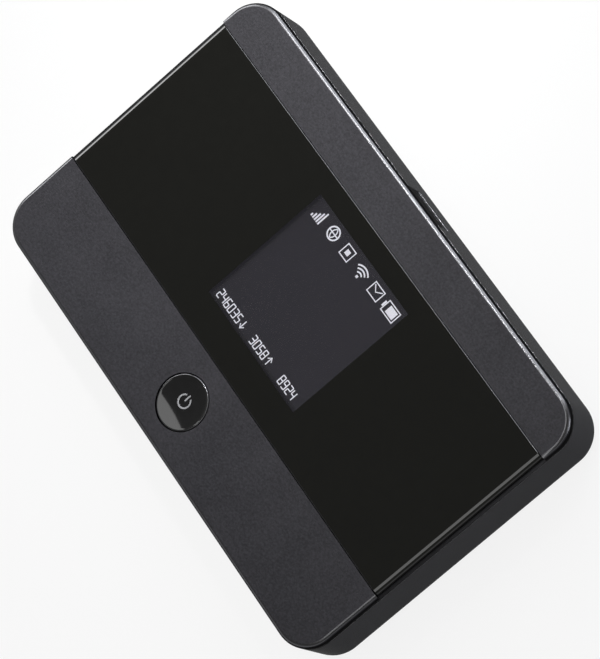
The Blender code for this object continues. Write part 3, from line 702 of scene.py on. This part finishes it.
lens_black, _ = moulded("lens_print_black", (0.0030, 0.0030, 0.0026),
                                  (0.0036, 0.0036, 0.0031), rough=(0.035, 0.055),
                                  grain_size=600, bump=0.0)
lens_clear, lens_tree, clear_shader = new_material("lens_clear")
smudge = lens_tree.nodes.new("ShaderNodeTexNoise")
smudge.inputs["Scale"].default_value = 120
smudge_range = lens_tree.nodes.new("ShaderNodeMapRange")
smudge_range.inputs["To Min"].default_value = 0.02
smudge_range.inputs["To Max"].default_value = 0.05
smudge_place = lens_tree.nodes.new("ShaderNodeTexCoord")
lens_tree.links.new(smudge_place.outputs["Object"], smudge.inputs["Vector"])
lens_tree.links.new(smudge.outputs["Fac"], smudge_range.inputs["Value"])
lens_tree.links.new(smudge_range.outputs["Result"], clear_shader.inputs["Roughness"])
clear_shader.inputs["Base Color"].default_value = (1, 1, 1, 1)
clear_shader.inputs["Transmission Weight"].default_value = 1.0
clear_shader.inputs["IOR"].default_value = 1.49
under_black, under_shader = moulded("lens_under_print", (0.0030, 0.0030, 0.0026), (0.0036, 0.0036, 0.0031),
                                    rough=(0.6, 0.7), grain_size=600, bump=0.0)
under_shader.inputs["Specular IOR Level"].default_value = 0.0
# Brighter metallic copy of the black print for the long edge bevels: a painted highlight line.
lens_edge_highlight, lens_edge_highlight_shader = moulded("lens_edge_highlight", (0.10, 0.10, 0.105), (0.12, 0.12, 0.125),
                                      rough=(0.15, 0.20), grain_size=900, bump=0.0)
lens_edge_highlight_shader.inputs["Metallic"].default_value = 1.0
dress(lens, lens_black, lens_clear, under_black, lens_edge_highlight)
for face in lens.data.polygons:
    grow = clear_margin if face.center.z < lens_low.z + 0.5 * MM else 0
    clear = (view_low.x - grow < face.center.x < view_high.x + grow
             and view_low.y - grow < face.center.y < view_high.y + grow)
    if abs(face.normal.z) > 0.99 and clear:
        face.material_index = 1
    elif face.normal.z < -0.9:
        face.material_index = 2
    # The long edge bevels take the brighter copy, the painted highlight.
    elif abs(face.normal.y) > 0.3 and 0.2 < face.normal.z < 0.97:
        face.material_index = 3
    else:
        face.material_index = 0
fit(lens, "front_lens", "main_body")


# ---- Power button -----------------------------------------------------------------
# Round polished key with a shallow dish, held under the strip by its flange. The
# power sign is a pale inlay in the floor of the dish.

key_top = power_high.z
flange_top = deck_high - clearance
flange_low = flange_top - 0.8 * MM
key_radius = power_radius + 0.15 * MM
power = add_round("power_button_key", power_centre, key_radius, flange_top - 0.2 * MM, key_top - 0.3 * MM)
edit(power)
pick(power, "FACE", at_height(key_top - 0.3 * MM))
lip_radius = 0.3 * MM
for step in range(6):
    lean = math.pi / 2 * (step + 0.5) / 6
    length = lip_radius * math.pi / 2 / 6
    bpy.ops.mesh.inset(thickness=length * math.sin(lean), depth=length * math.cos(lean))
dish_radius = key_radius - lip_radius - 0.05 * MM
dish_depth = 0.55 * MM
bpy.ops.mesh.inset(thickness=0.05 * MM, depth=-0.02 * MM)
rings = 16
for ring in range(rings - 1):
    outer, inner = 1 - ring / rings, 1 - (ring + 1) / rings
    drop = dish_depth * (outer ** 2 - inner ** 2)
    bpy.ops.mesh.inset(thickness=dish_radius / rings, depth=-drop)
leave_edit()
flange = add_round("flange", power_centre, power_radius + 0.9 * MM, flange_low, flange_top, 64)
apply_boolean(power, flange, "UNION")
stem = add_round("stem", power_centre, 1.2 * MM, power_low.z, flange_low + 0.2 * MM, 32)
apply_boolean(power, stem, "UNION")
smooth_shading(power, 32)
key_black, _ = moulded("power_key_black", (0.0045, 0.0045, 0.0048), (0.0060, 0.0060, 0.0064),
                       rough=(0.05, 0.08), grain_size=700, bump=0.0)
dress(power, key_black, painted_highlight_edge)
# The lip faces take the brighter edge copy of the black, a painted highlight.
for face in power.data.polygons:
    from_centre = (face.center - power_centre).xy.length
    on_lip = from_centre > dish_radius + 0.04 * MM and face.center.z > key_top - 0.3 * MM
    face.material_index = 1 if on_lip and 0.4 < face.normal.z < 0.97 else 0

fit(power, "power_button", "power_key")

sign_radius = 1.27 * MM
sign_width = 0.34 * MM
sign_centre = power_centre + Vector((-0.1, 0.27, 0)) * MM
floor_z = key_top - dish_depth
sign_parts = []
stroke(arc(sign_centre, sign_radius, 118, 422, 36), sign_width)
stroke([(sign_centre.x, sign_centre.y + 0.1 * MM), (sign_centre.x, sign_centre.y + 1.6 * MM)],
       sign_width)
bpy.ops.object.select_all(action="DESELECT")
for part in sign_parts:
    part.select_set(True)
bpy.context.view_layer.objects.active = sign_parts[0]
bpy.ops.object.join()
power_sign = bpy.context.object
power_sign.name = "power_sign"
for vertex in power_sign.data.vertices:
    from_centre = (vertex.co - power_centre).xy.length
    rise = dish_depth * (from_centre / dish_radius) ** 2
    vertex.co.z = floor_z + rise + (vertex.co.z - sign_height) * 1.6
inlay_grey, _ = moulded("power_sign_grey", (0.19, 0.19, 0.20), (0.23, 0.23, 0.24),
                        rough=(0.4, 0.5), grain_size=3000, bump=0.05)
dress(power_sign, inlay_grey)
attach(power_sign, "power_key")


# ---- Menu button ------------------------------------------------------------------
# Small black key in the wall, with upright ribs for the thumb, a flange behind the
# wall and a short stem that reaches its switch.

face_y = menu_high.y
flange_front = front_high.y - skirt_inset
menu = add_block("menu_button_key", (key_x[0], flange_front - 0.5 * MM, menu_low.z),
                 (key_x[1], face_y, menu_high.z))
rib_count = 26
rib_pitch = (key_x[1] - key_x[0]) / rib_count
edit(menu)
for number in range(1, 2 * rib_count):
    bpy.ops.mesh.select_all(action="SELECT")
    bpy.ops.mesh.bisect(plane_co=(key_x[0] + rib_pitch * number / 2, 0, 0), plane_no=(1, 0, 0))


def in_groove(points):
    middle_x = sum(point.x for point in points) / len(points)
    slot_number = int((middle_x - key_x[0]) / (rib_pitch / 2))
    return slot_number % 2 == 1 and all(abs(point.y - face_y) < 1e-6 for point in points)


pick(menu, "FACE", in_groove)
bpy.ops.mesh.extrude_region_move(TRANSFORM_OT_translate={"value": (0, -0.22 * MM, 0)})
leave_edit()
apply_boolean(menu, add_block("flange", (menu_low.x, flange_front - 0.6 * MM, menu_low.z),
                              (menu_high.x, flange_front, menu_high.z)), "UNION")
stem_x = (menu_low.x + menu_high.x) / 2
stem_z = (menu_low.z + menu_high.z) / 2 - 0.4 * MM
apply_boolean(menu, add_block("stem", (stem_x - 1 * MM, menu_low.y, stem_z - 0.6 * MM),
                              (stem_x + 1 * MM, flange_front - 0.3 * MM, stem_z + 0.6 * MM)), "UNION")
break_edges(menu, 0.03 * MM, segments=1)
menu_black, menu_shader = moulded("menu_key_black", (0.085, 0.085, 0.090), (0.10, 0.10, 0.105),
                                  rough=(0.25, 0.34), grain_size=1500, bump=0.05)
menu_shader.inputs["Metallic"].default_value = 1.0
dress(menu, menu_black)
fit(menu, "menu_button", "menu_key")


# ---- Battery ----------------------------------------------------------------------
# Flat lithium cell in a plain printed wrap, with a moulded end that carries the pads
# for the three spring contacts.

battery_low, battery_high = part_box("battery_pack")
battery = add_block("battery_cell", battery_low, battery_high)
edit(battery)
pick(battery, "EDGE", upright)
bpy.ops.mesh.bevel(offset=1.5 * MM, segments=6, affect="EDGES")
leave_edit()
break_edges(battery, 0.8 * MM, segments=4, angle=60)
for contact in (1, 2, 3):
    contact_low, contact_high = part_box(f"battery_contact_{contact}")
    carve(battery, (battery_high.x - 0.3 * MM, contact_low.y - 0.3 * MM, contact_low.z - 0.2 * MM),
          (battery_high.x + 1 * MM, contact_high.y + 0.3 * MM, contact_high.z + 0.2 * MM))
smooth_shading(battery, 40)
wrap_grey, _ = moulded("battery_wrap_grey", (0.075, 0.078, 0.083), (0.105, 0.108, 0.113),
                       rough=(0.38, 0.5), grain_size=1500, bump=0.12)
end_black, _ = moulded("battery_end_black", (0.014, 0.014, 0.015), (0.024, 0.024, 0.025),
                       rough=(0.45, 0.6))
dress(battery, wrap_grey, end_black)
for face in battery.data.polygons:
    face.material_index = 1 if face.center.x > battery_high.x - 0.9 * MM else 0
fit(battery, "battery_pack", "battery")

gold = metal("contact_gold", (0.62, 0.44, 0.15), (0.80, 0.60, 0.26), (0.2, 0.32))
for contact in (1, 2, 3):
    dress(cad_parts[f"battery_contact_{contact}"], gold)
resin_black, _ = moulded("resin_black", (0.022, 0.022, 0.023), (0.040, 0.040, 0.041),
                         rough=(0.45, 0.6), grain_size=3000, bump=0.15)
for node in ("battery_contact_block", "power_switch", "menu_switch", "reset_switch", "usb_tongue"):
    dress(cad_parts[node], resin_black)


# ---- Main board -------------------------------------------------------------------
# Green eight-layer board. Pressed cans stand over its chips, with rows of small parts
# between them.

board_green, board_tree, board_shader = new_material("board_green")
nodes, links = board_tree.nodes, board_tree.links
board_place = nodes.new("ShaderNodeTexCoord")
tracks = nodes.new("ShaderNodeTexBrick")
tracks.inputs["Scale"].default_value = 420
tracks.inputs["Mortar Size"].default_value = 0.03
tracks.inputs["Color1"].default_value = (0.010, 0.075, 0.030, 1)
tracks.inputs["Color2"].default_value = (0.012, 0.088, 0.036, 1)
tracks.inputs["Mortar"].default_value = (0.030, 0.140, 0.055, 1)
links.new(board_place.outputs["Object"], tracks.inputs["Vector"])
links.new(tracks.outputs["Color"], board_shader.inputs["Base Color"])
track_bump = nodes.new("ShaderNodeBump")
track_bump.inputs["Strength"].default_value = 0.3
track_bump.inputs["Distance"].default_value = 0.00003
links.new(tracks.outputs["Fac"], track_bump.inputs["Height"])
links.new(track_bump.outputs["Normal"], board_shader.inputs["Normal"])
board_shader.inputs["Roughness"].default_value = 0.35
dress(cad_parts["main_board"], board_green)

can_metal = metal("can_metal", (0.50, 0.50, 0.49), (0.66, 0.66, 0.64), (0.24, 0.36))
epoxy, _ = moulded("chip_epoxy_black", (0.012, 0.012, 0.013), (0.024, 0.024, 0.025),
                   rough=(0.55, 0.7), grain_size=5000, bump=0.3)
for name in ("processor", "modem", "wifi", "power"):
    can_low, can_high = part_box(f"shield_{name}")
    can = add_block(f"can_{name}", can_low, can_high)
    edit(can)
    pick(can, "EDGE", upright)
    bpy.ops.mesh.bevel(offset=0.8 * MM, segments=5, affect="EDGES")
    pick(can, "FACE", at_height(can_low.z))
    bpy.ops.mesh.inset(thickness=0.3 * MM, depth=0)
    rise = can_high.z - can_low.z - 0.3 * MM
    bpy.ops.mesh.extrude_region_move(TRANSFORM_OT_translate={"value": (0, 0, rise)})
    pick(can, "FACE", at_height(can_high.z))
    bpy.ops.mesh.inset(thickness=1.4 * MM, depth=0)
    bpy.ops.mesh.inset(thickness=0.15 * MM, depth=-0.12 * MM)
    leave_edit()
    break_edges(can, 0.1 * MM)
    dress(can, can_metal)
    fit(can, f"shield_{name}", "main_body")
    dress(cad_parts[f"chip_{name}"], epoxy)

part_low_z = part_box("shield_power")[0].z
board_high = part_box("main_board")[1]
small_parts = []
part_rows = (
    ((-44.0, 8.0), (-44.0, 22.0), 9),
    ((-38.0, 8.0), (-20.0, 8.0), 10),
    ((-38.0, 14.0), (-20.0, 14.0), 10),
    ((-38.0, 24.0), (10.0, 24.0), 18),
    ((-14.0, -21.0), (-14.0, -12.0), 6),
    ((9.0, -26.0), (17.0, -26.0), 5),
    ((-40.0, -27.0), (-6.0, -27.0), 14),
)
for (start_x, start_y), (end_x, end_y), count in part_rows:
    for number in range(count):
        share = number / (count - 1)
        x = (start_x + (end_x - start_x) * share) * MM
        y = (start_y + (end_y - start_y) * share) * MM
        long_x = number % 3 != 1
        size = Vector((0.5, 0.28, 0.0)) if long_x else Vector((0.28, 0.5, 0.0))
        part = add_block("small_part", (x - size.x * MM, y - size.y * MM, board_high.z + 0.02 * MM),
                         (x + size.x * MM, y + size.y * MM, part_low_z + 0.2 * MM))
        small_parts.append(part)
bpy.ops.object.select_all(action="DESELECT")
for part in small_parts:
    part.select_set(True)
bpy.context.view_layer.objects.active = small_parts[0]
bpy.ops.object.join()
board_parts = bpy.context.object
board_parts.name = "board_small_parts"
break_edges(board_parts, 0.05 * MM, segments=1)
ceramic, _ = moulded("ceramic_brown", (0.17, 0.10, 0.055), (0.24, 0.15, 0.085), rough=(0.4, 0.55))
dress(board_parts, ceramic)
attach(board_parts, "main_body")


# ---- Sockets, cards, antennas and switches ----------------------------------------
# Bought-in parts: plated steel shells and holders, plain cards, gold-plated sheet
# antennas, and pale resin plungers and connectors.

shell_steel = metal("socket_steel", (0.46, 0.46, 0.47), (0.64, 0.64, 0.65), (0.2, 0.32))
for node in ("usb_shell", "sim_holder", "memory_slot"):
    dress(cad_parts[node], shell_steel)
for node in ("main_antenna", "diversity_antenna", "wifi_antenna_1", "wifi_antenna_2"):
    dress(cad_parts[node], gold)
resin_pale, _ = moulded("resin_pale", (0.52, 0.49, 0.42), (0.62, 0.59, 0.51), rough=(0.45, 0.6),
                        grain_size=3000, bump=0.1)
for node in ("display_connector", "power_switch_plunger", "menu_switch_plunger", "reset_button"):
    dress(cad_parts[node], resin_pale)
card_white, _ = moulded("sim_card_white", (0.60, 0.60, 0.58), (0.68, 0.68, 0.66), rough=(0.4, 0.5))
dress(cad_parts["sim_card"], card_white)
card_black, _ = moulded("memory_card_black", (0.014, 0.014, 0.015), (0.022, 0.022, 0.023),
                        rough=(0.35, 0.45))
dress(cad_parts["memory_card"], card_black)
film_amber, _ = moulded("flex_amber", (0.36, 0.15, 0.030), (0.44, 0.20, 0.045), rough=(0.3, 0.4),
                        grain_size=800, bump=0.05)
dress(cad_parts["display_flex"], film_amber)


# ---- Floor, light and camera ------------------------------------------------------
# A pale floor that reflections see as dark, soft boxes round the unit, and a long lens
# looking down on the front.

bpy.ops.object.select_all(action="DESELECT")
bpy.ops.mesh.primitive_plane_add(size=8, location=(0, 0, -0.02 * MM))
floor = bpy.context.object
floor.name = "floor"
floor_material, floor_tree, floor_shader = new_material("floor_white")
floor_shader.inputs["Base Color"].default_value = (0.50, 0.50, 0.50, 1)
floor_shader.inputs["Roughness"].default_value = 0.9
floor_shader.inputs["Specular IOR Level"].default_value = 0.0
path = floor_tree.nodes.new("ShaderNodeLightPath")
seen = floor_tree.nodes.new("ShaderNodeMath")
seen.operation = "MAXIMUM"
floor_tree.links.new(path.outputs["Is Camera Ray"], seen.inputs[0])
floor_tree.links.new(path.outputs["Is Transmission Ray"], seen.inputs[1])
glow_share = 0.85
reflected_glow = 0.1
share = floor_tree.nodes.new("ShaderNodeMath")
share.operation = "MULTIPLY"
share.inputs[1].default_value = glow_share
floor_tree.links.new(seen.outputs["Value"], share.inputs[0])
white = floor_tree.nodes.new("ShaderNodeEmission")
white.inputs["Strength"].default_value = 1.0
both = floor_tree.nodes.new("ShaderNodeMixShader")
floor_tree.links.new(share.outputs["Value"], both.inputs["Fac"])
floor_tree.links.new(floor_shader.outputs["BSDF"], both.inputs[1])
floor_tree.links.new(white.outputs["Emission"], both.inputs[2])
# Reflections see the floor as this fixed dim glow, not as the lit floor: a painted dark reflection in the
# glossy walls.
dim = floor_tree.nodes.new("ShaderNodeEmission")
dim.inputs["Strength"].default_value = reflected_glow
mirrored = floor_tree.nodes.new("ShaderNodeMixShader")
floor_tree.links.new(path.outputs["Is Glossy Ray"], mirrored.inputs["Fac"])
floor_tree.links.new(both.outputs["Shader"], mirrored.inputs[1])
floor_tree.links.new(dim.outputs["Emission"], mirrored.inputs[2])
floor_tree.links.new(mirrored.outputs["Shader"], floor_tree.nodes["Material Output"].inputs["Surface"])
dress(floor, floor_material)

world = bpy.data.worlds.new("studio")
bpy.context.scene.world = world
world.use_nodes = True
nodes, links = world.node_tree.nodes, world.node_tree.links
room = nodes["Background"]
direction = nodes.new("ShaderNodeTexCoord")
split = nodes.new("ShaderNodeSeparateXYZ")
sky = nodes.new("ShaderNodeValToRGB")
sky.color_ramp.elements[0].position = 0.25
sky.color_ramp.elements[0].color = (0.95, 0.95, 0.97, 1)
sky.color_ramp.elements[1].position = 0.65
sky.color_ramp.elements[1].color = (0.185, 0.185, 0.172, 1)
links.new(direction.outputs["Generated"], split.inputs["Vector"])
links.new(split.outputs["Z"], sky.inputs["Fac"])
links.new(sky.outputs["Color"], room.inputs["Color"])
plain = nodes.new("ShaderNodeBackground")
plain.inputs["Color"].default_value = (1, 1, 1, 1)
world_path = nodes.new("ShaderNodeLightPath")
world_mix = nodes.new("ShaderNodeMixShader")
links.new(world_path.outputs["Is Camera Ray"], world_mix.inputs["Fac"])
links.new(room.outputs["Background"], world_mix.inputs[1])
links.new(plain.outputs["Background"], world_mix.inputs[2])
links.new(world_mix.outputs["Shader"], nodes["World Output"].inputs["Surface"])


def soft_box(name, place, width, height, radiance, colour=(1, 1, 1), facing_down=False):
    """A flat lamp that faces the unit, or the floor, with the brightness that its face shows."""
    lamp = bpy.data.lights.new(name, "AREA")
    lamp.shape = "RECTANGLE"
    lamp.size = width
    lamp.size_y = height
    lamp.energy = math.pi * width * height * radiance
    lamp.color = colour
    box = bpy.data.objects.new(name, lamp)
    box.location = place
    if not facing_down:
        box.rotation_euler = Vector(place).to_track_quat("Z", "Y").to_euler()
    bpy.context.scene.collection.objects.link(box)


soft_box("box_overhead", (-0.70, 0.11, 1.0), 1.70, 0.38, 2.8, facing_down=True)
soft_box("box_top", (0.29, -0.20, 1.0), 0.42, 0.32, 2.4, facing_down=True)
soft_box("box_far_left", (-0.50, 0.80, 0.72), 0.90, 0.60, 3.6, colour=(0.93, 0.96, 1.0))
soft_box("box_low_far", (-0.44, 0.95, 0.20), 0.60, 0.20, 8.0, colour=(0.93, 0.96, 1.0))
soft_box("box_low_left", (-0.85, -0.02, 0.42), 0.60, 0.26, 8.0)
soft_box("box_low_right", (0.66, 0.80, 0.09), 0.40, 0.16, 40.0, colour=(0.95, 0.97, 1.0))

spot = bpy.data.lights.new("spot_upper_left", "SPOT")
spot.energy = 85
spot.spot_size = math.radians(9.2)
spot.spot_blend = 1.0
spot.shadow_soft_size = 0.05
spot_lamp = bpy.data.objects.new("spot_upper_left", spot)
spot_lamp.location = (-0.35, 0.55, 0.95)
spot_aim = Vector((-60, 46, 16)) * MM
spot_lamp.rotation_euler = (spot_lamp.location - spot_aim).to_track_quat("Z", "Y").to_euler()
bpy.context.scene.collection.objects.link(spot_lamp)

camera_data = bpy.data.cameras.new("camera")
camera = bpy.data.objects.new("camera", camera_data)
bpy.context.scene.collection.objects.link(camera)
aim_point = Vector((4.58, 2.02, 16.0)) * MM
azimuth = math.radians(27.33)
elevation = math.radians(63.2)
roll = math.radians(-65.45)
distance = 599.4 * MM
toward = Vector((math.cos(elevation) * math.cos(azimuth), math.cos(elevation) * math.sin(azimuth),
                 math.sin(elevation)))
turned = toward.to_track_quat("Z", "Y").to_matrix() @ Matrix.Rotation(roll, 3, "Z")
camera.matrix_world = Matrix.Translation(aim_point + toward * distance) @ turned.to_4x4()
camera_data.lens = 183.5
camera_data.sensor_width = 36
camera_data.clip_start = 0.01
bpy.context.scene.camera = camera
bpy.context.scene.view_settings.view_transform = "Standard"
